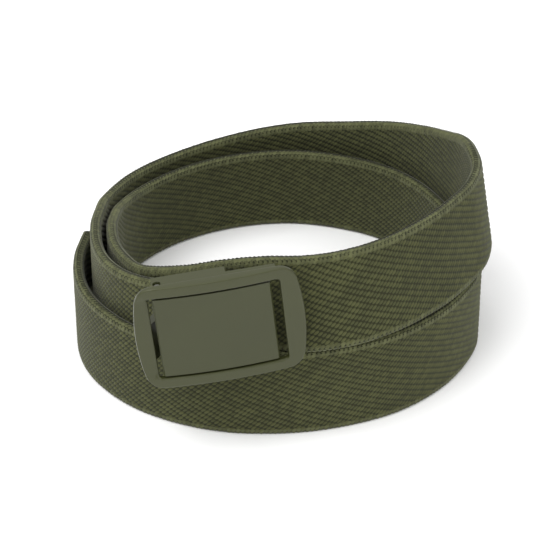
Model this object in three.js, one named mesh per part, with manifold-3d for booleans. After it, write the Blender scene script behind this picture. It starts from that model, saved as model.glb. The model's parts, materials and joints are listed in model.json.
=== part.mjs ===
// Canvas web belt, rolled up on its edge, with a frame buckle and a hinged lever.
// Millimetres, +Z up. The strap stands on its lower edge, and the buckle faces -Y.
import * as THREE from 'three';
import { mergeVertices } from 'three/addons/utils/BufferGeometryUtils.js';
import Module from 'manifold-3d';

const wasm = await Module();
wasm.setup();

// Webbing
const webWidth = 32;
const webThickness = 4;
const webEdgeRadius = 1.5;
const coilRadius = 66;
const edgeArcSteps = 3;
const stepLength = 5.2;

// Buckle frame
const frameLength = 54;
const frameHeight = 38;
const frameCorner = 5;
const endBulge = 2.6;
const bulgeStart = endBulge / 2;
const bulgeMiddle = endBulge * 1.5;
const plateThickness = 2.4;
const plateBevel = 0.6;
const barWidth = 5.6;
const rightBarWidth = 6.9;
const sideBarWidth = 3.75;
const windowCorner = 1.2;
const wallThickness = 2;
const deepWallDepth = 7;
const shallowWallDepth = 4;
const deepWallShare = 0.6;

// Lever and its pin
const leverSetback = 0.5;
const leverThickness = 2;
const leverNose = 0.5;
const leverLeftGap = 1.4;
const leverSlot = 2.8;
const leverSideGap = 0.7;
const pinRadius = 1;
const pinInset = 2.3;
const pinDepth = 3.3;
const barrelRadius = 2.2;
const fitGap = 0.3;

// Strap clamp behind the frame
const clampSheet = 1.6;
const clampHeight = 15;
const clampLift = 1.4;
const clampTurn = 30;
const clampSpread = 7;

// Where the buckle hangs on the coil
const buckleTurn = 15.6;
const buckleStandoff = 1.6;
const buckleLift = 31.5;
const buckleRoll = 6;
const buckleYaw = 8;

// How finely round shapes are cut
const mergeDistance = 1e-4;
const barSides = 24;
const plateCurveSteps = 8;
const bevelSteps = 2;
const barrelSteps = 16;

// Finishes
const webbingColour = 0x43492f;
const frameColour = 0x4a4f39;
const leverColour = 0x4d523c;
const clampColour = 0x3a3d31;
const pinColour = 0x8a8c84;

// The strap's route: turn in degrees round the coil, clockwise from the front,
// its middle as a share of coilRadius, its lower edge as a share of webWidth,
// and its lean in degrees, with the lower edge outward when positive.
const strapRoute = [
  { turn: 22, radius: 0.922, lift: 0.69, lean: 0 },
  { turn: 35, radius: 0.952, lift: 0.58, lean: 0 },
  { turn: 48, radius: 0.981, lift: 0.5, lean: 0 },
  { turn: 60, radius: 0.982, lift: 0.45, lean: 0 },
  { turn: 72, radius: 0.964, lift: 0.415, lean: 0 },
  { turn: 85, radius: 0.944, lift: 0.39, lean: 0 },
  { turn: 97, radius: 0.945, lift: 0.32, lean: 1 },
  { turn: 110, radius: 0.983, lift: 0.21, lean: 2.5 },
  { turn: 130, radius: 1.028, lift: 0.135, lean: 4.5 },
  { turn: 150, radius: 1.046, lift: 0.135, lean: 5 },
  { turn: 170, radius: 1.063, lift: 0.205, lean: 5 },
  { turn: 185, radius: 1.08, lift: 0.28, lean: 5 },
  { turn: 200, radius: 1.084, lift: 0.365, lean: 5 },
  { turn: 215, radius: 1.092, lift: 0.5, lean: 4 },
  { turn: 228, radius: 1.075, lift: 0.64, lean: 3 },
  { turn: 240, radius: 1.052, lift: 0.79, lean: 2.5 },
  { turn: 250, radius: 1.042, lift: 0.93, lean: 3.5 },
  { turn: 260, radius: 1.036, lift: 1.03, lean: 6 },
  { turn: 270, radius: 1.05, lift: 1.03, lean: 9 },
  { turn: 281, radius: 1.028, lift: 1.022, lean: 11 },
  { turn: 292, radius: 0.985, lift: 1.02, lean: 12.5 },
  { turn: 305, radius: 0.955, lift: 1.02, lean: 13.5 },
  { turn: 325, radius: 0.945, lift: 1.025, lean: 13.5 },
  { turn: 340, radius: 0.942, lift: 1.018, lean: 13.5 },
  { turn: 352, radius: 0.93, lift: 1.005, lean: 11 },
  { turn: 365, radius: 0.893, lift: 0.98, lean: 5 },
  { turn: 378, radius: 0.855, lift: 0.86, lean: 0 },
  { turn: 392, radius: 0.864, lift: 0.69, lean: 0 },
  { turn: 408, radius: 0.907, lift: 0.53, lean: 0 },
  { turn: 420, radius: 0.889, lift: 0.46, lean: 0 },
  { turn: 432, radius: 0.873, lift: 0.405, lean: 0 },
  { turn: 446, radius: 0.861, lift: 0.35, lean: 0 },
  { turn: 458, radius: 0.866, lift: 0.25, lean: 0 },
  { turn: 470, radius: 0.901, lift: 0.13, lean: 1 },
  { turn: 488, radius: 0.952, lift: 0.02, lean: 4 },
  { turn: 505, radius: 0.967, lift: 0.01, lean: 5 },
  { turn: 525, radius: 0.984, lift: 0.01, lean: 5 },
  { turn: 545, radius: 1.004, lift: 0.01, lean: 5 },
  { turn: 565, radius: 1.01, lift: 0.01, lean: 4.5 },
  { turn: 578, radius: 1.014, lift: 0.01, lean: 3.5 },
  { turn: 590, radius: 1.005, lift: 0.01, lean: 3 },
  { turn: 602, radius: 0.987, lift: 0.01, lean: 2 },
  { turn: 612, radius: 0.981, lift: 0.01, lean: 1 },
  { turn: 622, radius: 1.0, lift: 0, lean: 0 },
  { turn: 632, radius: 1.024, lift: 0, lean: 0 },
  { turn: 642, radius: 1.041, lift: 0, lean: 0 },
  { turn: 654, radius: 1.027, lift: 0, lean: 0 },
  { turn: 668, radius: 1.01, lift: 0, lean: 0 },
  { turn: 684, radius: 0.991, lift: 0, lean: 0 },
  { turn: 700, radius: 0.972, lift: 0, lean: 0 },
  { turn: 716, radius: 0.972, lift: 0, lean: 0 },
  { turn: 734, radius: 0.995, lift: 0, lean: 0 },
  { turn: 750, radius: 1.021, lift: 0, lean: 0 },
  { turn: 765, radius: 1.048, lift: 0, lean: 0 },
  { turn: 780, radius: 1.064, lift: 0, lean: 0 },
  { turn: 792, radius: 1.06, lift: 0, lean: 0 },
  { turn: 805, radius: 1.037, lift: 0, lean: 0 },
  { turn: 818, radius: 1.014, lift: 0, lean: 0 },
];

const degrees = THREE.MathUtils.degToRad;

// A place round the coil, at a turn and a radius
function coilPoint(turn, radius, height) {
  return new THREE.Vector3(-radius * Math.sin(degrees(turn)), -radius * Math.cos(degrees(turn)), height);
}

function toManifold(geometry) {
  const bare = geometry.clone();
  bare.deleteAttribute('normal');
  bare.deleteAttribute('uv');
  const merged = mergeVertices(bare, mergeDistance);
  return new wasm.Manifold(new wasm.Mesh({
    numProp: 3,
    vertProperties: new Float32Array(merged.attributes.position.array),
    triVerts: new Uint32Array(merged.index.array),
  }));
}

function fromManifold(solid) {
  const mesh = solid.getMesh();
  const geometry = new THREE.BufferGeometry();
  geometry.setAttribute('position', new THREE.BufferAttribute(new Float32Array(mesh.vertProperties), 3));
  geometry.setIndex(new THREE.BufferAttribute(new Uint32Array(mesh.triVerts), 1));
  const flat = geometry.toNonIndexed();
  flat.computeVertexNormals();
  return flat;
}

function boxBetween(low, high) {
  const box = new THREE.BoxGeometry(high[0] - low[0], high[1] - low[1], high[2] - low[2]);
  return box.translate((low[0] + high[0]) / 2, (low[1] + high[1]) / 2, (low[2] + high[2]) / 2);
}

// The webbing's section: across its thickness and its width, with rounded edges
function webSection() {
  const acrossHalf = webThickness / 2 - webEdgeRadius;
  const widthHalf = webWidth / 2 - webEdgeRadius;
  const corners = [[1, 1, 0], [-1, 1, 90], [-1, -1, 180], [1, -1, 270]];
  const points = [];
  for (const [across, along, start] of corners) {
    for (let step = 0; step <= edgeArcSteps; step += 1) {
      const angle = degrees(start + (90 * step) / edgeArcSteps);
      points.push(new THREE.Vector2(
        across * acrossHalf + webEdgeRadius * Math.cos(angle),
        along * widthHalf + webEdgeRadius * Math.sin(angle),
      ));
    }
  }
  return points;
}

// Stations along the strap, each with its middle, its outward direction and its lean
function strapStations() {
  const middles = strapRoute.map((row) => coilPoint(
    row.turn,
    row.radius * coilRadius,
    row.lift * webWidth + webWidth / 2,
  ));
  const curve = new THREE.CatmullRomCurve3(middles, false, 'centripetal');
  const spans = strapRoute.length - 1;
  const stations = [];
  for (let span = 0; span < spans; span += 1) {
    const steps = Math.max(2, Math.round(middles[span].distanceTo(middles[span + 1]) / stepLength));
    const last = span === spans - 1 ? steps : steps - 1;
    for (let step = 0; step <= last; step += 1) {
      const share = step / steps;
      const along = (span + share) / spans;
      const tangent = curve.getTangent(along);
      const outward = new THREE.Vector3(tangent.y, -tangent.x, 0).normalize().negate();
      const lean = THREE.MathUtils.lerp(strapRoute[span].lean, strapRoute[span + 1].lean, share);
      const middle = curve.getPoint(along);
      middle.z = Math.max(middle.z, webWidth / 2);
      stations.push({ middle, outward, lean: degrees(lean) });
    }
  }
  return stations;
}

// One closed solid: the section set at each station, with a flat cap at both ends
function strapGeometry() {
  const section = webSection();
  const stations = strapStations();
  const positions = [];
  for (const { middle, outward, lean } of stations) {
    const up = new THREE.Vector3(0, 0, Math.cos(lean)).addScaledVector(outward, -Math.sin(lean));
    const across = outward.clone().multiplyScalar(Math.cos(lean)).setZ(Math.sin(lean));
    for (const point of section) {
      const vertex = middle.clone().addScaledVector(across, point.x).addScaledVector(up, point.y);
      positions.push(vertex.x, vertex.y, vertex.z);
    }
  }
  const around = section.length;
  const faces = [];
  for (let ring = 0; ring < stations.length - 1; ring += 1) {
    for (let side = 0; side < around; side += 1) {
      const here = ring * around + side;
      const next = ring * around + ((side + 1) % around);
      faces.push(here, next, here + around, next, next + around, here + around);
    }
  }
  const lastRing = (stations.length - 1) * around;
  for (let side = 1; side < around - 1; side += 1) {
    faces.push(0, side + 1, side);
    faces.push(lastRing, lastRing + side, lastRing + side + 1);
  }
  const geometry = new THREE.BufferGeometry();
  geometry.setAttribute('position', new THREE.Float32BufferAttribute(positions, 3));
  geometry.setIndex(faces);
  geometry.computeVertexNormals();
  return geometry;
}

// A rounded outline whose two ends bulge outwards
function frameOutline() {
  const halfLength = frameLength / 2 - endBulge;
  const halfHeight = frameHeight / 2;
  const outline = new THREE.Shape();
  outline.moveTo(-halfLength + frameCorner, -halfHeight);
  outline.lineTo(halfLength - frameCorner, -halfHeight);
  outline.quadraticCurveTo(halfLength, -halfHeight, halfLength + bulgeStart, -halfHeight + frameCorner);
  outline.quadraticCurveTo(
    halfLength + bulgeMiddle,
    0,
    halfLength + bulgeStart,
    halfHeight - frameCorner,
  );
  outline.quadraticCurveTo(halfLength, halfHeight, halfLength - frameCorner, halfHeight);
  outline.lineTo(-halfLength + frameCorner, halfHeight);
  outline.quadraticCurveTo(-halfLength, halfHeight, -halfLength - bulgeStart, halfHeight - frameCorner);
  outline.quadraticCurveTo(
    -halfLength - bulgeMiddle,
    0,
    -halfLength - bulgeStart,
    -halfHeight + frameCorner,
  );
  outline.quadraticCurveTo(-halfLength, -halfHeight, -halfLength + frameCorner, -halfHeight);
  return outline;
}

function roundedRectangle(left, right, bottom, top, corner) {
  const outline = new THREE.Path();
  outline.moveTo(left + corner, bottom);
  outline.lineTo(right - corner, bottom);
  outline.absarc(right - corner, bottom + corner, corner, -Math.PI / 2, 0, false);
  outline.lineTo(right, top - corner);
  outline.absarc(right - corner, top - corner, corner, 0, Math.PI / 2, false);
  outline.lineTo(left + corner, top);
  outline.absarc(left + corner, top - corner, corner, Math.PI / 2, Math.PI, false);
  outline.lineTo(left, bottom + corner);
  outline.absarc(left + corner, bottom + corner, corner, Math.PI, Math.PI * 1.5, false);
  return outline;
}

// The buckle is drawn flat, its front at zero and its depth along -Z, then stood up
const windowLeft = -frameLength / 2 + barWidth;
const windowRight = frameLength / 2 - rightBarWidth;
const windowHeight = frameHeight - 2 * sideBarWidth;
const leverLeft = windowLeft + leverLeftGap;
const leverRight = windowRight - leverSlot;
const leverHeight = windowHeight - 2 * leverSideGap;
const pinPlace = leverLeft + pinInset;

function standUp(geometry) {
  return geometry.rotateX(Math.PI / 2);
}

// A round bar across the buckle, centred on the pin
function pinBar(radius, length) {
  const bar = new THREE.CylinderGeometry(radius, radius, length, barSides);
  return bar.translate(pinPlace, 0, -pinDepth);
}

function frameGeometry() {
  const outline = frameOutline();
  outline.holes.push(roundedRectangle(
    windowLeft,
    windowRight,
    -windowHeight / 2,
    windowHeight / 2,
    windowCorner,
  ));
  const plate = new THREE.ExtrudeGeometry(outline, {
    depth: plateThickness - 2 * plateBevel,
    bevelThickness: plateBevel,
    bevelSize: plateBevel,
    bevelOffset: -plateBevel,
    bevelSegments: bevelSteps,
    curveSegments: plateCurveSteps,
  });
  plate.translate(0, 0, plateBevel - plateThickness);
  const wallLeft = -frameLength / 2 + endBulge + frameCorner;
  const wallRight = -wallLeft;
  const wallStep = wallLeft + deepWallShare * (wallRight - wallLeft);
  const wallOuter = frameHeight / 2 - plateBevel / 2;
  const wallInner = wallOuter - wallThickness;
  const bury = plateBevel - plateThickness;
  let solid = toManifold(plate);
  for (const side of [[-wallOuter, -wallInner], [wallInner, wallOuter]]) {
    const deep = boxBetween([wallLeft, side[0], -deepWallDepth], [wallStep, side[1], bury]);
    const shallow = boxBetween(
      [wallStep - wallThickness, side[0], -shallowWallDepth],
      [wallRight, side[1], bury],
    );
    solid = solid.add(toManifold(deep)).add(toManifold(shallow));
  }
  solid = solid.subtract(toManifold(pinBar(pinRadius + fitGap, 2 * frameHeight)));
  return standUp(fromManifold(solid));
}

// The lever's section: a flat cover with a barrel round the pin, drawn lengthwise and in depth
function leverGeometry() {
  const front = -leverSetback;
  const back = front - leverThickness;
  const section = new THREE.Shape();
  section.moveTo(leverLeft, back);
  section.lineTo(leverLeft, front - leverNose);
  section.lineTo(leverLeft + leverNose, front);
  section.lineTo(leverRight - leverNose, front);
  section.lineTo(leverRight, front - leverNose);
  section.lineTo(leverRight, back + leverNose);
  section.lineTo(leverRight - leverNose, back);
  section.lineTo(pinPlace + barrelRadius, back);
  section.absarc(pinPlace, -pinDepth, barrelRadius, 0, -Math.PI, true);
  section.closePath();
  const bore = new THREE.Path();
  bore.absarc(pinPlace, -pinDepth, pinRadius + fitGap, 0, Math.PI * 2, false);
  section.holes.push(bore);
  const lever = new THREE.ExtrudeGeometry(section, {
    depth: leverHeight,
    bevelEnabled: false,
    curveSegments: barrelSteps,
  });
  lever.translate(0, 0, -leverHeight / 2);
  return lever.rotateX(Math.PI);
}

// A plain hidden bracket from the frame's left bar, over the lower turn, to the strap's end
function clampGeometry(barBackAt, barLeft, barRight) {
  const low = webWidth + clampLift;
  const stationAt = (turn) => {
    const after = strapRoute.findIndex((row) => row.turn >= turn);
    const [from, to] = [strapRoute[after - 1], strapRoute[after]];
    const share = (turn - from.turn) / (to.turn - from.turn);
    return THREE.MathUtils.lerp(from.radius, to.radius, share) * coilRadius;
  };
  const saddle = new THREE.Shape();
  const inside = webThickness / 2 + 2 * fitGap;
  const turns = [clampTurn - clampSpread, clampTurn, clampTurn + clampSpread];
  const inner = turns.map((turn) => coilPoint(turn, stationAt(turn) + inside, 0));
  const outer = turns.map((turn) => coilPoint(turn, stationAt(turn) + inside + clampSheet, 0));
  saddle.moveTo(inner[0].x, inner[0].y);
  inner.slice(1).forEach((point) => saddle.lineTo(point.x, point.y));
  outer.reverse().forEach((point) => saddle.lineTo(point.x, point.y));
  saddle.closePath();
  const arm = new THREE.Shape();
  const root = coilPoint(clampTurn, stationAt(clampTurn) + inside + clampSheet / 2, 0);
  const footLeft = barLeft + clampSheet;
  const footRight = barRight;
  const footBackAt = (x) => barBackAt(x) + fitGap;
  const tip = (footLeft + footRight) / 2;
  arm.moveTo(root.x - clampSheet, root.y);
  arm.lineTo(tip - clampSheet, footBackAt(tip - clampSheet) + clampSheet);
  arm.lineTo(footLeft, footBackAt(footLeft) + clampSheet);
  arm.lineTo(footLeft, footBackAt(footLeft));
  arm.lineTo(footRight, footBackAt(footRight));
  arm.lineTo(footRight, footBackAt(footRight) + clampSheet);
  arm.lineTo(tip + clampSheet, footBackAt(tip + clampSheet) + clampSheet);
  arm.lineTo(root.x + clampSheet, root.y);
  arm.closePath();
  const pieces = [saddle, arm].map((shape) => {
    const piece = new THREE.ExtrudeGeometry(shape, { depth: clampHeight, bevelEnabled: false });
    return toManifold(piece.translate(0, 0, low));
  });
  return fromManifold(pieces[0].add(pieces[1]));
}

function finish(color, roughness, metalness) {
  return new THREE.MeshStandardMaterial({ color, roughness, metalness });
}

function named(name, geometry, material) {
  const mesh = new THREE.Mesh(geometry, material);
  mesh.name = name;
  return mesh;
}

// The buckle stands in front of the lower turn, its right end the higher and nearer the coil
const lowerTurn = strapRoute.find((row) => row.turn >= 2 * 360 - buckleTurn);
const frontFace = lowerTurn.radius * coilRadius + webThickness / 2;
const buckleFront = -(frontFace + buckleStandoff + deepWallDepth);
const buckleMiddle = -coilRadius * Math.sin(degrees(buckleTurn));
const roll = degrees(buckleRoll);
const yaw = degrees(buckleYaw);

const buckle = new THREE.Group();
buckle.position.set(buckleMiddle, buckleFront, buckleLift + webWidth / 2);
buckle.rotation.set(0, -roll, yaw, 'ZYX');
buckle.add(named('buckle_frame', frameGeometry(), finish(frameColour, 0.45, 0.6)));
buckle.add(named('cam_lever', leverGeometry(), finish(leverColour, 0.42, 0.6)));
buckle.add(named(
  'hinge_pin',
  standUp(pinBar(pinRadius, frameHeight - wallThickness)),
  finish(pinColour, 0.35, 0.9),
));

const barMiddle = buckleMiddle - (frameLength / 2 - barWidth / 2) * Math.cos(roll) * Math.cos(yaw);
const strapClamp = clampGeometry(
  (x) => buckleFront + plateThickness / Math.cos(yaw) + (x - buckleMiddle) * Math.tan(yaw),
  barMiddle - barWidth / 2,
  barMiddle + barWidth / 4,
);

const belt = new THREE.Group();
belt.add(named('webbing_strap', strapGeometry(), finish(webbingColour, 0.9, 0)));
belt.add(named('strap_clamp', strapClamp, finish(clampColour, 0.5, 0.6)));
belt.add(buckle);

// The origin is the middle of the belt's own box, on the surface that it stands on
belt.updateMatrixWorld(true);
const reach = new THREE.Box3().setFromObject(belt, true);
const middle = reach.getCenter(new THREE.Vector3());
belt.position.set(-middle.x, -middle.y, -reach.min.z);

export default belt;
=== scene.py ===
import bpy
import bmesh
import json
import math
import numpy as np
from mathutils import Matrix, Vector


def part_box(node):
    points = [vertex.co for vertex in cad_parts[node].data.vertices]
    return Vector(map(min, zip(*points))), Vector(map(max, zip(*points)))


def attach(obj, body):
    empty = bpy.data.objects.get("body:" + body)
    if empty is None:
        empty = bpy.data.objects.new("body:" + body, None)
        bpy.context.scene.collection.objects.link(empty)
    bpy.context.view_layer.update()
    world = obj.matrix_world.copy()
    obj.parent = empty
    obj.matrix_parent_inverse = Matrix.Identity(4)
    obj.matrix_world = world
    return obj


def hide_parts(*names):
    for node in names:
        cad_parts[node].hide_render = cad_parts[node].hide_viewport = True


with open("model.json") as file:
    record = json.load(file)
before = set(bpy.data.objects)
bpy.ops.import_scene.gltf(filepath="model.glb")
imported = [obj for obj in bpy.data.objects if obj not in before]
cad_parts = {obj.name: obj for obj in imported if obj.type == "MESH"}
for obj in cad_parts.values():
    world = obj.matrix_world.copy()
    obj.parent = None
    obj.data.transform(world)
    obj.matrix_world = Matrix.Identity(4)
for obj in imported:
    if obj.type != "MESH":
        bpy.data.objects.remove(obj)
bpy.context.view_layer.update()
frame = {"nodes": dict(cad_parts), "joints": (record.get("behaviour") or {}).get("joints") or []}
mm = 0.001


def addObject(name, data):
    thing = bpy.data.objects.new(name, data)
    bpy.context.scene.collection.objects.link(thing)
    return thing


def makePiece(name, vertices, faces):
    mesh = bpy.data.meshes.new(name)
    mesh.from_pydata(vertices, [], faces)
    mesh.update()
    return addObject(name, mesh)


def setMaterial(piece, material):
    piece.data.materials.clear()
    piece.data.materials.append(material)


def applyModifiers(piece):
    evaluated = piece.evaluated_get(bpy.context.evaluated_depsgraph_get())
    mesh = bpy.data.meshes.new_from_object(evaluated)
    piece.modifiers.clear()
    piece.data = mesh


def addSocket(tree, name, kind, way="INPUT", value=None):
    socket = tree.interface.new_socket(name=name, in_out=way, socket_type=kind)
    if value is not None:
        socket.default_value = value


# Links another node's output to a socket, or puts a plain value on it
def feed(tree, socket, value):
    if isinstance(value, bpy.types.NodeSocket):
        tree.links.new(value, socket)
    else:
        socket.default_value = value


def addMath(tree, operation, *values):
    node = tree.nodes.new("ShaderNodeMath")
    node.operation = operation
    for socket, value in zip(node.inputs, values):
        feed(tree, socket, value)
    return node.outputs[0]


# A colour or a vector times a number
def addScale(tree, vector, factor):
    node = tree.nodes.new("ShaderNodeVectorMath")
    node.operation = "SCALE"
    feed(tree, node.inputs[0], vector)
    feed(tree, node.inputs["Scale"], factor)
    return node.outputs["Vector"]


def addRange(tree, value, low, high, start=0.0, end=1.0):
    node = tree.nodes.new("ShaderNodeMapRange")
    sockets = ("Value", "From Min", "From Max", "To Min", "To Max")
    for name, given in zip(sockets, (value, start, end, low, high)):
        feed(tree, node.inputs[name], given)
    return node.outputs["Result"]


def addNoise(tree, place, scale, detail=2.0, roughness=0.5):
    node = tree.nodes.new("ShaderNodeTexNoise")
    sockets = ("Vector", "Scale", "Detail", "Roughness")
    for name, given in zip(sockets, (place, scale, detail, roughness)):
        feed(tree, node.inputs[name], given)
    return node.outputs["Fac"]


yarnLook = {
    "patchScale": 90,
    "patchDetail": 3,
    "fibreScale": 2600,
    "fibreDetail": 4,
    "fibreRoughness": 0.7,
    # brightness on a stitch's ridge: a painted highlight
    "crestPaintedHighlight": 1.1,
    "roughness": (0.78, 0.98),
    "bumpDistance": 0.08 * mm,
    "specular": 0.25,
    "sheen": 0.12,
    "sheenRoughness": 0.5,
}

paintLook = {
    "grainScale": 3000,
    "grainDetail": 3,
    "cloudScale": 60,
    "cloudBrightness": (0.9, 1.1),
    "cloudRoughness": 0.12,  # added to the paint's own roughness where the cloud is full
    "bumpDistance": 0.02 * mm,
    "specular": 0.35,
    "coat": 0.25,
    "coatRoughness": 0.16,
}

bumpStrength = 0.6


# A yarn's colour, fuzz and bump, shared by the core and both kinds of stitches, with painted shade
# at the stitches' feet and a painted highlight on their crests
def makeYarnGroup():
    group = bpy.data.node_groups.new("yarnFinish", "ShaderNodeTree")
    addSocket(group, "Yarn Colour", "NodeSocketColor")
    addSocket(group, "Shade", "NodeSocketFloat", value=0.5)
    # crest and the socket after it set the painted shade towards a stitch's foot and the painted
    # highlight on its ridge
    addSocket(group, "Crest", "NodeSocketFloat", value=1.0)
    addSocket(group, "Valley Shade", "NodeSocketFloat", value=0.5)
    addSocket(group, "Mottle", "NodeSocketFloat", value=0.2)
    addSocket(group, "Fibre Scale", "NodeSocketFloat", value=yarnLook["fibreScale"])
    addSocket(group, "Colour", "NodeSocketColor", "OUTPUT")
    addSocket(group, "Roughness", "NodeSocketFloat", "OUTPUT")
    addSocket(group, "Height", "NodeSocketFloat", "OUTPUT")
    given = group.nodes.new("NodeGroupInput").outputs
    out = group.nodes.new("NodeGroupOutput").inputs
    place = group.nodes.new("ShaderNodeTexCoord").outputs["Object"]
    patches = addNoise(group, place, yarnLook["patchScale"], yarnLook["patchDetail"])
    fibres = addNoise(group, place, given["Fibre Scale"], yarnLook["fibreDetail"],
                      yarnLook["fibreRoughness"])
    # the three vary round a half each: brightness = 1 + mottle * (their sum - 1.5)
    three = addMath(group, "ADD", addMath(group, "ADD", patches, fibres), given["Shade"])
    centred = addMath(group, "SUBTRACT", three, 1.5)
    bright = addMath(group, "MULTIPLY_ADD", centred, given["Mottle"], 1.0)
    # painted shade: the yarn is darkened towards a stitch's foot, where it dives under its
    # neighbours, and lightened a little on its crest as a painted highlight
    paintedFootShade = addRange(group, given["Crest"], given["Valley Shade"], yarnLook["crestPaintedHighlight"])
    shadedBright = addMath(group, "MULTIPLY", bright, paintedFootShade)
    feed(group, out["Colour"], addScale(group, given["Yarn Colour"], shadedBright))
    feed(group, out["Roughness"], addRange(group, fibres, *yarnLook["roughness"]))
    feed(group, out["Height"], fibres)
    return group


# Fine sprayed paint: slight mottling, a pebbled surface and uneven gloss
def makePaintGroup():
    group = bpy.data.node_groups.new("sprayedPaint", "ShaderNodeTree")
    addSocket(group, "Paint Colour", "NodeSocketColor")
    addSocket(group, "Gloss Roughness", "NodeSocketFloat", value=0.4)
    addSocket(group, "Grain Scale", "NodeSocketFloat", value=paintLook["grainScale"])
    addSocket(group, "Colour", "NodeSocketColor", "OUTPUT")
    addSocket(group, "Roughness", "NodeSocketFloat", "OUTPUT")
    addSocket(group, "Height", "NodeSocketFloat", "OUTPUT")
    given = group.nodes.new("NodeGroupInput").outputs
    out = group.nodes.new("NodeGroupOutput").inputs
    place = group.nodes.new("ShaderNodeTexCoord").outputs["Object"]
    grain = addNoise(group, place, given["Grain Scale"], paintLook["grainDetail"])
    cloud = addNoise(group, place, paintLook["cloudScale"])
    bright = addRange(group, cloud, *paintLook["cloudBrightness"])
    rough = addMath(group, "MULTIPLY_ADD", cloud, paintLook["cloudRoughness"],
                    given["Gloss Roughness"])
    feed(group, out["Colour"], addScale(group, given["Paint Colour"], bright))
    feed(group, out["Roughness"], rough)
    feed(group, out["Height"], grain)
    return group


# A material with one finish group feeding its colour, roughness and bump
def groupMaterial(name, group, values, bumpDistance, attributes=()):
    material = bpy.data.materials.new(name)
    material.use_nodes = True
    nodes, links = material.node_tree.nodes, material.node_tree.links
    shader = nodes["Principled BSDF"]
    finish = nodes.new("ShaderNodeGroup")
    finish.node_tree = group
    for key, value in values.items():
        finish.inputs[key].default_value = value
    for attribute in attributes:
        reader = nodes.new("ShaderNodeAttribute")
        reader.attribute_name = attribute.lower()
        links.new(reader.outputs["Fac"], finish.inputs[attribute])
    bump = nodes.new("ShaderNodeBump")
    bump.inputs["Distance"].default_value = bumpDistance
    bump.inputs["Strength"].default_value = bumpStrength
    links.new(finish.outputs["Height"], bump.inputs["Height"])
    links.new(bump.outputs["Normal"], shader.inputs["Normal"])
    links.new(finish.outputs["Colour"], shader.inputs["Base Color"])
    links.new(finish.outputs["Roughness"], shader.inputs["Roughness"])
    return material, shader


yarnGroup = makeYarnGroup()
paintGroup = makePaintGroup()


# valley sets the painted shade at a stitch's foot
def yarnMaterial(name, colour, mottle, valleyShade=1.0, attributes=()):
    values = {"Yarn Colour": (*colour, 1), "Mottle": mottle, "Valley Shade": valleyShade}
    material, shader = groupMaterial(name, yarnGroup, values, yarnLook["bumpDistance"], attributes)
    shader.inputs["Specular IOR Level"].default_value = yarnLook["specular"]
    shader.inputs["Sheen Weight"].default_value = yarnLook["sheen"]
    shader.inputs["Sheen Roughness"].default_value = yarnLook["sheenRoughness"]
    return material


def paintMaterial(name, metal):
    values = {"Paint Colour": (*metal["colour"], 1), "Gloss Roughness": metal["roughness"]}
    material, shader = groupMaterial(name, paintGroup, values, paintLook["bumpDistance"])
    shader.inputs["Metallic"].default_value = metal["metallic"]
    shader.inputs["Specular IOR Level"].default_value = paintLook["specular"]
    shader.inputs["Coat Weight"].default_value = paintLook["coat"]
    shader.inputs["Coat Roughness"].default_value = paintLook["coatRoughness"]
    return material


print("materials: groups made")

strap = {
    "coilRadius": 66 * mm,
    "width": 32 * mm,
    "thickness": 4 * mm,
    "curveSteps": 24,           # between two rows of the route
    "ringStep": 1.0 * mm,
    "weaveDepth": 0.35 * mm,    # how far the core lies under the strap's full thickness
    "selvage": 1.5 * mm,        # height of each rim
    "seamDepth": 0.08 * mm,     # fine groove where a rim meets the face
    # the core shows only in the grooves between stitches; its yarn colour is darkened there as
    # painted shade
    "shadedCoreYarn": (0.017, 0.019, 0.006),
    "shadedCoreMottle": 0.3,
    "edgeYarn": (0.046, 0.049, 0.019),
    "edgeMottle": 0.5,
}

# The strap's route: turn round the coil in degrees, radius as a share of coilRadius,
# lower edge as a share of the webbing's width, and lean in degrees. At 340 to 365 it sits
# a little lower than the solid, so that no floor shows over the turn below.
strapRoute = [
    (22, 0.922, 0.69, 0), (35, 0.952, 0.58, 0), (48, 0.981, 0.5, 0), (60, 0.982, 0.45, 0),
    (72, 0.964, 0.415, 0), (85, 0.944, 0.39, 0), (97, 0.945, 0.32, 1), (110, 0.983, 0.21, 2.5),
    (130, 1.028, 0.135, 4.5), (150, 1.046, 0.135, 5), (170, 1.063, 0.205, 5),
    (185, 1.08, 0.28, 5), (200, 1.084, 0.365, 5), (215, 1.092, 0.5, 4), (228, 1.075, 0.64, 3),
    (240, 1.052, 0.79, 2.5), (250, 1.042, 0.93, 3.5), (260, 1.036, 1.03, 6),
    (270, 1.05, 1.03, 9), (281, 1.028, 1.022, 11), (292, 0.985, 1.02, 12.5),
    (305, 0.955, 1.02, 13.5), (325, 0.945, 1.025, 13.5), (340, 0.942, 1.01, 14.5),
    (352, 0.93, 0.997, 13.5), (365, 0.893, 0.975, 6), (378, 0.855, 0.86, 0),
    (392, 0.864, 0.69, 0), (408, 0.907, 0.53, 0), (420, 0.889, 0.46, 0), (432, 0.873, 0.405, 0),
    (446, 0.861, 0.35, 0), (458, 0.866, 0.25, 0), (470, 0.901, 0.13, 1), (488, 0.952, 0.02, 4),
    (505, 0.967, 0.01, 5), (525, 0.984, 0.01, 5), (545, 1.004, 0.01, 5), (565, 1.01, 0.01, 4.5),
    (578, 1.014, 0.01, 3.5), (590, 1.005, 0.01, 3), (602, 0.987, 0.01, 2),
    (612, 0.981, 0.01, 1), (622, 1.0, 0, 0), (632, 1.024, 0, 0), (642, 1.041, 0, 0),
    (654, 1.027, 0, 0), (668, 1.01, 0, 0), (684, 0.991, 0, 0), (700, 0.972, 0, 0),
    (716, 0.972, 0, 0), (734, 0.995, 0, 0), (750, 1.021, 0, 0), (765, 1.048, 0, 0),
    (780, 1.064, 0, 0), (792, 1.06, 0, 0), (805, 1.037, 0, 0), (818, 1.014, 0, 0),
]


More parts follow.
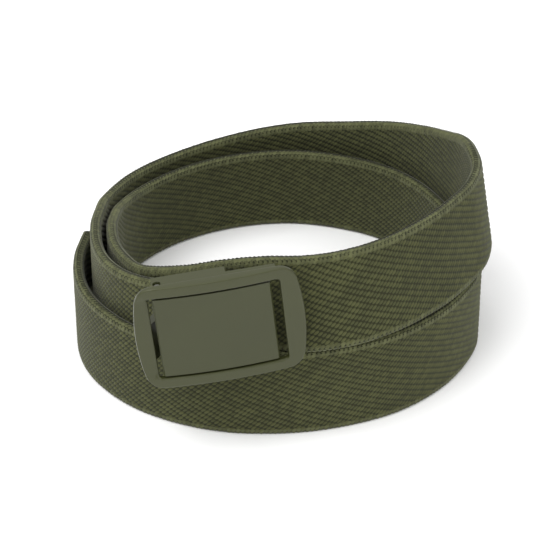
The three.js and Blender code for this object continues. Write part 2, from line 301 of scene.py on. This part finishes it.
# The smooth route: cubic spans through the table's rows, worked out as in the solid
def routeStations():
    rows = np.array(strapRoute, float)
    turn = np.radians(rows[:, 0])
    reach = rows[:, 1] * strap["coilRadius"]
    middles = np.stack([
        -reach * np.sin(turn),
        -reach * np.cos(turn),
        rows[:, 2] * strap["width"] + strap["width"] / 2,
    ], axis=1)
    padded = np.vstack([2 * middles[0] - middles[1], middles, 2 * middles[-1] - middles[-2]])
    gaps = np.sqrt(np.linalg.norm(np.diff(padded, axis=0), axis=1))
    share = np.linspace(0, 1, strap["curveSteps"], endpoint=False)[:, None]
    points, leans = [], []
    for span in range(len(middles) - 1):
        before, start, end, after = padded[span:span + 4]
        gap0, gap1, gap2 = gaps[span:span + 3]
        leave = (start - before) / gap0 - (end - before) / (gap0 + gap1) + (end - start) / gap1
        arrive = (end - start) / gap1 - (after - start) / (gap1 + gap2) + (after - end) / gap2
        leave, arrive = leave * gap1, arrive * gap1
        curve = start + leave * share
        curve = curve + (3 * (end - start) - 2 * leave - arrive) * share ** 2
        curve = curve + (2 * (start - end) + leave + arrive) * share ** 3
        points.append(curve)
        leans.append(rows[span, 3] + (rows[span + 1, 3] - rows[span, 3]) * share[:, 0])
    points = np.vstack(points + [middles[-1:]])
    leans = np.concatenate(leans + [rows[-1:, 3]])
    points[:, 2] = np.maximum(points[:, 2], strap["width"] / 2)  # never under the floor
    return points, np.radians(leans)


class Ribbon:
    def __init__(self):
        self.points, self.leans = routeStations()
        steps = np.linalg.norm(np.diff(self.points, axis=0), axis=1)
        self.along = np.concatenate([[0], np.cumsum(steps)])
        self.length = self.along[-1]
        tangent = np.gradient(self.points, self.along, axis=0)
        self.tangent = tangent / np.linalg.norm(tangent, axis=1)[:, None]
        self.shift = np.zeros(3)

    def pick(self, values, s):
        if values.ndim == 1:
            return np.interp(s, self.along, values)
        return np.stack([np.interp(s, self.along, column) for column in values.T], axis=1)

    # At each distance s: the middle, and the ways along the strap, out through it and up it
    def axes(self, s):
        middle = self.pick(self.points, s) + self.shift
        tangent = self.pick(self.tangent, s)
        tangent /= np.linalg.norm(tangent, axis=1)[:, None]
        lean = self.pick(self.leans, s)[:, None]
        outward = np.stack([-tangent[:, 1], tangent[:, 0], np.zeros(len(s))], axis=1)
        outward /= np.linalg.norm(outward, axis=1)[:, None]
        vertical = np.array([[0.0, 0.0, 1.0]])
        up = vertical * np.cos(lean) - outward * np.sin(lean)
        across = outward * np.cos(lean) + vertical * np.sin(lean)
        return middle, tangent, across, up


# One side of the core's section, from the middle of the top rim to the middle of the lower
# one: distance from the middle of the thickness, and height up the width
def sectionHalf():
    half = strap["width"] / 2
    thick = strap["thickness"] / 2
    core = thick - strap["weaveDepth"]
    band = half - strap["selvage"]
    rounding = [(0.0, 0.05), (0.45, 0.12), (0.74, 0.38), (0.88, 0.8)]  # share of thick, drop in mm
    upper = [(share * thick, half - drop * mm) for share, drop in rounding]
    upper += [(thick * 0.9, band + 0.3 * mm), (core - strap["seamDepth"], band)]
    flat = [(core, height) for height in np.linspace(band - 0.5 * mm, 0.5 * mm - band, 9)]
    lower = [(n, -v) for n, v in reversed(upper)]
    return upper + flat + lower


def makeCore(ribbon):
    half = sectionHalf()
    section = half + [(-n, v) for n, v in reversed(half)][1:-1]
    rings = int(round(ribbon.length / strap["ringStep"]))
    middle, _, across, up = ribbon.axes(np.linspace(0, ribbon.length, rings + 1))
    n = np.array([point[0] for point in section])
    v = np.array([point[1] for point in section])
    grid = middle[:, None] + across[:, None] * n[None, :, None] + up[:, None] * v[None, :, None]
    around = len(section)
    faces = []
    for ring in range(rings):
        here, there = ring * around, (ring + 1) * around
        for side in range(around):
            after = (side + 1) % around
            faces.append((here + side, there + side, there + after, here + after))
    faces.append(tuple(range(around)))
    faces.append(tuple(reversed(range(rings * around, (rings + 1) * around))))
    piece = makePiece("strap_core", grid.reshape(-1, 3).tolist(), faces)
    rimStarts = strap["width"] / 2 - strap["selvage"] * 1.01
    for index, face in enumerate(piece.data.polygons):
        face.use_smooth = len(face.vertices) == 4
        if face.use_smooth:
            side = index % around
            inRim = min(abs(v[side]), abs(v[(side + 1) % around])) > rimStarts
            face.material_index = 1 if inRim else 0
    return piece


stitches = {
    "rowAngle": 25,
    "rowSpacing": 2.0 * mm,
    "pitch": 1.26 * mm,
    "strokeAngle": 35,
    "endMargin": 1 * mm,        # no stitch begins nearer to the strap's ends
    "sink": 0.08 * mm,          # how deep a stitch's foot is set into the core
    "length": 2.65 * mm,
    "width": 1.3 * mm,
    "height": 0.5 * mm,
    "unevenness": 0.14,
    "yarn": (0.065, 0.069, 0.0245),
    "mottle": 0.3,
    # brightness at a stitch's foot: painted shade where it dives under its neighbours
    "valleyShade": 0.45,
    "rimPitch": 1.5 * mm,
    "rimSlant": 0.9375,         # along the strap for each length across the rim
    "rimSink": 0.12 * mm,
    "rimLength": 2.4 * mm,
    "rimWidth": 1.9 * mm,
    "rimHeight": 0.26 * mm,
    "rimYarn": (0.079, 0.084, 0.036),
    "rimMottle": 0.45,
    # brightness at a rim stitch's foot: painted shade where it dives under its neighbours
    "rimValleyShade": 0.75,
    "floorGap": 0.02 * mm,
    "seed": 4,
}


# Where the stitches of a face sit: a slanted lattice of distances along and up the strap
def faceLattice(ribbon, side):
    reach = strap["width"] / 2 - strap["selvage"]
    angle = math.radians(stitches["rowAngle"])
    rowWay = np.array([math.cos(angle), side * math.sin(angle)])
    rowGap = np.array([-rowWay[1], rowWay[0]]) * side
    longest = ribbon.length + 2 * reach
    spare = 30
    rows = int(longest * math.sin(angle) / stitches["rowSpacing"]) + spare
    columns = int(longest / stitches["pitch"]) + spare
    places = []
    for row in range(-rows, rows):
        start = rowGap * row * stitches["rowSpacing"]
        column = np.arange(-columns, columns) + (0.5 if row % 2 else 0.0)
        line = start + rowWay * (column * stitches["pitch"])[:, None]
        inside = (np.abs(line[:, 1]) < reach) & (line[:, 0] > stitches["endMargin"])
        inside &= line[:, 0] < ribbon.length - stitches["endMargin"]
        places.append(line[inside])
    return np.vstack(places)


def facePlaces(ribbon, side):
    lattice = faceLattice(ribbon, side)
    middle, tangent, across, up = ribbon.axes(lattice[:, 0])
    depth = strap["thickness"] / 2 - strap["weaveDepth"] - stitches["sink"]
    normal = across * side
    stroke = math.radians(stitches["strokeAngle"])
    axis = up * math.sin(stroke) - tangent * side * math.cos(stroke)
    return middle + normal * depth + up * lattice[:, 1:2], axis, normal


# Five lines of stitches round each rim
def rimPlaces(ribbon):
    ends = stitches["endMargin"]
    s = np.arange(ends, ribbon.length - ends, stitches["rimPitch"])
    half = strap["width"] / 2
    thick = strap["thickness"] / 2
    # share of half the thickness, drop from the rim in mm, tilt of the normal, stagger
    lines = [
        (0.0, 0.12, 0, 0.0),
        (0.66, 0.36, 48, 0.5),
        (-0.66, 0.36, -48, 0.5),
        (0.9, 1.25, 84, 0.0),
        (-0.9, 1.25, -84, 0.0),
    ]
    places, axes, normals = [], [], []
    for end in (1, -1):
        for share, drop, tilt, stagger in lines:
            middle, tangent, across, up = ribbon.axes(s + stagger * stitches["rimPitch"])
            turned = math.radians(tilt)
            normal = up * end * math.cos(turned) + across * math.sin(turned)
            surface = middle + across * share * thick + up * end * (half - drop * mm)
            places.append(surface - normal * stitches["rimSink"])
            axes.append(np.cross(normal, tangent) + tangent * stitches["rimSlant"])
            normals.append(normal)
    return np.vstack(places), np.vstack(axes), np.vstack(normals)


# One stitch: a low closed pad with eight corners and a short ridge, a unit long, wide and high
def makeStitchShape():
    outline = [(-0.5, 0), (-0.36, 0.36), (0, 0.5), (0.36, 0.36),
               (0.5, 0), (0.36, -0.36), (0, -0.5), (-0.36, -0.36)]
    foot = [(x, y, 0) for x, y in outline]
    ridge = [(-0.2, 0, 0.94), (0.2, 0, 0.94)]
    slopes = [(0, 8, 1), (1, 8, 2), (2, 8, 9), (2, 9, 3), (3, 9, 4),
              (4, 9, 5), (5, 9, 6), (6, 9, 8), (6, 8, 7), (7, 8, 0)]
    faces = [tuple(reversed(face)) for face in slopes] + [tuple(range(8))]
    shape = makePiece("stitchShape", foot + ridge, faces)
    # crest is 0 at the foot and 1 on the ridge; the yarn materials use it to paint shade at the
    # foot and a highlight on the ridge
    crest = shape.data.attributes.new("crest", "FLOAT", "POINT")
    crest.data.foreach_set("value", [0, 0.35, 0.6, 0.35, 0, 0.35, 0.6, 0.35, 1, 1])
    for face in shape.data.polygons[:-1]:
        face.use_smooth = True
    return shape


def addRandom(tree, seed, low=0.0, high=1.0):
    node = tree.nodes.new("FunctionNodeRandomValue")
    node.data_type = "FLOAT"
    feed(tree, node.inputs[2], low)
    feed(tree, node.inputs[3], high)
    feed(tree, node.inputs["Seed"], seed)
    return node.outputs[1]


# Places a copy of the stitch on every point, turned to its stroke and its face, each a little
# different in size and shade
def makeStitchTree():
    tree = bpy.data.node_groups.new("layStitches", "GeometryNodeTree")
    addSocket(tree, "Geometry", "NodeSocketGeometry")
    addSocket(tree, "Stitch", "NodeSocketObject")
    for name in ("Length", "Width", "Height", "Unevenness"):
        addSocket(tree, name, "NodeSocketFloat", value=0.001)
    addSocket(tree, "Seed", "NodeSocketInt", value=0)
    addSocket(tree, "Material", "NodeSocketMaterial")
    addSocket(tree, "Geometry", "NodeSocketGeometry", "OUTPUT")
    nodes, links = tree.nodes, tree.links
    given = nodes.new("NodeGroupInput").outputs
    out = nodes.new("NodeGroupOutput").inputs
    points = nodes.new("GeometryNodeMeshToPoints")
    links.new(given["Geometry"], points.inputs["Mesh"])
    turn = nodes.new("FunctionNodeAxesToRotation")
    turn.primary_axis = "Z"
    turn.secondary_axis = "X"
    for index, name in enumerate(("facing", "stroke")):
        vector = nodes.new("GeometryNodeInputNamedAttribute")
        vector.data_type = "FLOAT_VECTOR"
        vector.inputs["Name"].default_value = name
        links.new(vector.outputs["Attribute"], turn.inputs[index])
    size = nodes.new("ShaderNodeCombineXYZ")
    for axis, name in zip("XYZ", ("Length", "Width", "Height")):
        links.new(given[name], size.inputs[axis])
    smallest = addMath(tree, "SUBTRACT", 1.0, given["Unevenness"])
    uneven = addRandom(tree, given["Seed"], smallest)
    shape = nodes.new("GeometryNodeObjectInfo")
    links.new(given["Stitch"], shape.inputs["Object"])
    lay = nodes.new("GeometryNodeInstanceOnPoints")
    links.new(points.outputs["Points"], lay.inputs["Points"])
    links.new(shape.outputs["Geometry"], lay.inputs["Instance"])
    links.new(turn.outputs[0], lay.inputs["Rotation"])
    links.new(addScale(tree, size.outputs[0], uneven), lay.inputs["Scale"])
    shade = nodes.new("GeometryNodeStoreNamedAttribute")
    shade.domain = "INSTANCE"
    shade.data_type = "FLOAT"
    shade.inputs["Name"].default_value = "shade"
    links.new(lay.outputs["Instances"], shade.inputs["Geometry"])
    links.new(addRandom(tree, given["Seed"]), shade.inputs["Value"])
    realize = nodes.new("GeometryNodeRealizeInstances")
    links.new(shade.outputs["Geometry"], realize.inputs["Geometry"])
    finish = nodes.new("GeometryNodeSetMaterial")
    links.new(realize.outputs["Geometry"], finish.inputs["Geometry"])
    links.new(given["Material"], finish.inputs["Material"])
    links.new(finish.outputs["Geometry"], out["Geometry"])
    return tree


def layStitches(name, places, axes, normals, tree, shape, sizes, material):
    piece = makePiece(name, places.tolist(), [])
    for key, values in (("stroke", axes), ("facing", normals)):
        attribute = piece.data.attributes.new(key, "FLOAT_VECTOR", "POINT")
        attribute.data.foreach_set("vector", np.ascontiguousarray(values, np.float32).ravel())
    modifier = piece.modifiers.new("layStitches", "NODES")
    modifier.node_group = tree
    values = {"Stitch": shape, "Seed": stitches["seed"], "Unevenness": stitches["unevenness"],
              "Material": material, **sizes}
    for socket in tree.interface.items_tree:
        if socket.in_out == "INPUT" and socket.name in values:
            modifier[socket.identifier] = values[socket.name]
    applyModifiers(piece)
    setMaterial(piece, material)
    for vertex in piece.data.vertices:  # the lowest stitches are pressed flat by the floor
        vertex.co.z = max(vertex.co.z, stitches["floorGap"])
    print(name, "stitches", len(places), "faces", len(piece.data.polygons))
    return piece


# The solid's box places the core, and the stitches follow the core
def makeStrap():
    ribbon = Ribbon()
    core = makeCore(ribbon)
    low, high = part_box("webbing_strap")
    corners = np.array([vertex.co for vertex in core.data.vertices])
    place = (np.array(low) + np.array(high)) / 2 - (corners.min(0) + corners.max(0)) / 2
    ribbon.shift = np.array([place[0], place[1], 0.0])
    core.data.transform(Matrix.Translation(Vector(ribbon.shift)))
    # the core's darkened yarn paints the shade in the grooves between the stitches
    setMaterial(core, yarnMaterial("shadedCoreYarn", strap["shadedCoreYarn"], strap["shadedCoreMottle"]))
    core.data.materials.append(yarnMaterial("edgeYarn", strap["edgeYarn"], strap["edgeMottle"]))
    shape = makeStitchShape()
    tree = makeStitchTree()
    face = yarnMaterial("faceYarn", stitches["yarn"], stitches["mottle"],
                        stitches["valleyShade"], ("Shade", "Crest"))
    rim = yarnMaterial("rimYarn", stitches["rimYarn"], stitches["rimMottle"],
                       stitches["rimValleyShade"], ("Shade", "Crest"))
    faceSizes = {name: stitches[name.lower()] for name in ("Length", "Width", "Height")}
    rimSizes = {name: stitches["rim" + name] for name in ("Length", "Width", "Height")}
    pieces = [
        core,
        layStitches("outer_weave", *facePlaces(ribbon, 1), tree, shape, faceSizes, face),
        layStitches("inner_weave", *facePlaces(ribbon, -1), tree, shape, faceSizes, face),
        layStitches("rim_weave", *rimPlaces(ribbon), tree, shape, rimSizes, rim),
    ]
    bpy.data.objects.remove(shape)
    for piece in pieces:
        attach(piece, "belt")
    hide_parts("webbing_strap")
    print("strap: length", round(ribbon.length, 4))


makeStrap()

buckle = {
    "pinAt": (-17.7 * mm, 3.3 * mm),  # along from the buckle's middle, and behind its front
    "bow": 1.3 * mm,                  # the front stands forward in its middle
    "bowReach": 20 * mm,              # where the bow meets the flat front again
    "frontDepth": 1.9 * mm,           # what lies deeper isn't moved
    "frontFade": 1.1 * mm,
    "leftBarEnds": -20 * mm,
    "rampDrop": 1.3 * mm,             # the left bar slopes down to the window
    "rampStarts": -26 * mm,
    "rampLength": 4.6 * mm,
    "rampReach": 15.6 * mm,           # up and down from the buckle's middle
    "rampFade": 1.6 * mm,
    "sharpAngle": 32,
}

frameMetal = {
    "colour": (0.042, 0.046, 0.0145),
    "roughness": 0.32,
    "metallic": 0.2,
    "rounding": 0.4 * mm,
}

leverMetal = {
    "colour": (0.037, 0.041, 0.012),
    "roughness": 0.32,
    "metallic": 0.2,
    "rounding": 0.15 * mm,
}

clampMetal = {
    "colour": (0.030, 0.033, 0.012),
    "roughness": 0.32,
    "metallic": 0.2,
    "rounding": 0.3 * mm,
}

pinMetal = {
    "colour": (0.35, 0.35, 0.32),
    "roughness": 0.3,
    "metallic": 1.0,
    "rounding": 0.15 * mm,
}


# The buckle's own axes: along it, up it and out of its front, from the middle of its front
class BuckleAxes:
    def __init__(self):
        hinge = next(joint for joint in frame["joints"] if joint["name"] == "lever_hinge")
        self.up = -Vector(hinge["axis"]).normalized()
        side = Vector((-self.up.x, -self.up.y, 0)).normalized()
        self.out = Vector((side.y, -side.x, 0))
        self.along = self.up.cross(self.out).normalized()
        pinAlong, pinDeep = buckle["pinAt"]
        self.middle = Vector(hinge["pos_m"]) - self.along * pinAlong + self.out * pinDeep

    def local(self, point):
        offset = point - self.middle
        return Vector((offset.dot(self.along), offset.dot(self.up), offset.dot(self.out)))

    def world(self, place):
        return self.middle + self.along * place.x + self.up * place.y + self.out * place.z


def clamped(value):
    return min(max(value, 0.0), 1.0)


def eased(value):
    value = clamped(value)
    return value * value * (3 - 2 * value)


# The front stands forward in its middle, and the left bar slopes down towards the window
def shapeFront(mesh, axes, withRamp):
    cutter = bmesh.new()
    cutter.from_mesh(mesh)
    # lines in mm that the front can bend along, closer together over the ramp
    alongLines = [-24.5, -23, -22, *range(-20, 27, 2)]
    upLines = [-15.3, -13.8, -5, 5, 13.8, 15.3]
    cuts = [(axes.along, line) for line in alongLines] + [(axes.up, line) for line in upLines]
    for way, line in cuts:
        parts = cutter.verts[:] + cutter.edges[:] + cutter.faces[:]
        bmesh.ops.bisect_plane(cutter, geom=parts, dist=0.0001 * mm,
                               plane_co=axes.middle + way * line * mm, plane_no=way)
    for vertex in cutter.verts:
        place = axes.local(vertex.co)
        front = eased((place.z + buckle["frontDepth"]) / buckle["frontFade"])
        lift = buckle["bow"] * (1 - (place.x / buckle["bowReach"]) ** 2)
        if withRamp and place.x < buckle["leftBarEnds"]:
            inner = eased((buckle["rampReach"] - abs(place.y)) / buckle["rampFade"])
            down = clamped((place.x - buckle["rampStarts"]) / buckle["rampLength"])
            lift -= buckle["rampDrop"] * down * inner
        place.z += lift * front
        vertex.co = axes.world(place)
    cutter.to_mesh(mesh)
    cutter.free()


def shadeMetal(piece):
    for face in piece.data.polygons:
        face.use_smooth = True
    piece.data.set_sharp_from_angle(angle=math.radians(buckle["sharpAngle"]))
    weigh = piece.modifiers.new("weigh", "WEIGHTED_NORMAL")
    weigh.keep_sharp = True
    applyModifiers(piece)


# A metal piece takes the solid's own form, with its hard edges rounded
def metalPiece(node, name, slot, body, metal, axes=None, withRamp=False):
    piece = addObject(name, frame["nodes"][node].data.copy())
    setMaterial(piece, paintMaterial(slot + "Paint", metal))
    weld = piece.modifiers.new("weld", "WELD")
    weld.merge_threshold = 0.001 * mm
    flat = piece.modifiers.new("flat", "DECIMATE")
    flat.decimate_type = "DISSOLVE"
    flat.angle_limit = math.radians(1)
    soften = piece.modifiers.new("soften", "BEVEL")
    soften.width = metal["rounding"]
    soften.segments = 3
    soften.limit_method = "ANGLE"
    soften.angle_limit = math.radians(40)
    applyModifiers(piece)
    if axes:
        shapeFront(piece.data, axes, withRamp)
    shadeMetal(piece)
    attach(piece, body)
    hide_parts(node)
    print(name, "faces", len(piece.data.polygons))


def makeBuckle():
    axes = BuckleAxes()
    metalPiece("buckle_frame", "frame_metal", "frame", "belt", frameMetal, axes, withRamp=True)
    metalPiece("cam_lever", "lever_metal", "lever", "lever", leverMetal, axes)
    metalPiece("strap_clamp", "clamp_metal", "clamp", "belt", clampMetal)
    metalPiece("hinge_pin", "pin_metal", "pin", "belt", pinMetal)
    print("buckle: metal pieces made")


makeBuckle()

studio = {
    "floorReach": 3,
    "floorColour": (0.95, 0.95, 0.95),
    "floorRoughness": 0.9,
    "horizon": 0.42,
    "horizonAt": -0.1,
    "zenith": 1.1,
    "zenithAt": 0.9,
    "aimAt": (0, 0, 0.03),
    "key": {"power": 10.5, "size": 0.9, "place": (-0.5, -0.3, 1.1)},
    "fill": {"power": 4.0, "size": 1.2, "place": (0.8, -0.7, 0.7)},
}


def aim(holder, place, target):
    holder.location = place
    holder.rotation_euler = (Vector(target) - Vector(place)).to_track_quat("-Z", "Y").to_euler()


def makeFloor():
    reach = studio["floorReach"]
    corners = [(-reach, -reach, 0), (reach, -reach, 0), (reach, reach, 0), (-reach, reach, 0)]
    floor = makePiece("studioFloor", corners, [(0, 1, 2, 3)])
    paper = bpy.data.materials.new("paper")
    paper.use_nodes = True
    shader = paper.node_tree.nodes["Principled BSDF"]
    shader.inputs["Base Color"].default_value = (*studio["floorColour"], 1)
    shader.inputs["Roughness"].default_value = studio["floorRoughness"]
    setMaterial(floor, paper)


# White all round, and brighter overhead than at the horizon
def makeWorld():
    world = bpy.data.worlds.new("studioWorld")
    world.use_nodes = True
    tree = world.node_tree
    background = tree.nodes["Background"]
    background.inputs["Color"].default_value = (1, 1, 1, 1)
    sky = tree.nodes.new("ShaderNodeTexCoord")
    parts = tree.nodes.new("ShaderNodeSeparateXYZ")
    tree.links.new(sky.outputs["Generated"], parts.inputs["Vector"])
    brightness = addRange(tree, parts.outputs["Z"], studio["horizon"], studio["zenith"],
                          studio["horizonAt"], studio["zenithAt"])
    tree.links.new(brightness, background.inputs["Strength"])
    bpy.context.scene.world = world


def addLight(name):
    lamp = bpy.data.lights.new(name, "AREA")
    lamp.energy = studio[name]["power"]
    lamp.size = studio[name]["size"]
    aim(addObject(name, lamp), studio[name]["place"], studio["aimAt"])


camera = {
    "elevation": 33,
    "distance": 800 * mm,
    "lens": 141.5,
    "sensor": 36,
    "lookAt": (-1.06 * mm, 29.06 * mm, 0.0),
}


def makeCamera():
    lens = bpy.data.cameras.new("photoCamera")
    lens.lens = camera["lens"]
    lens.sensor_width = camera["sensor"]
    holder = addObject("photoCamera", lens)
    rise = math.radians(camera["elevation"])
    target = Vector(camera["lookAt"])
    back = Vector((0, -math.cos(rise), math.sin(rise))) * camera["distance"]
    aim(holder, target + back, target)
    bpy.context.scene.camera = holder


bpy.context.scene.view_settings.view_transform = "Standard"
makeFloor()
makeWorld()
addLight("key")
addLight("fill")
makeCamera()
print("stage: floor, lights and camera")
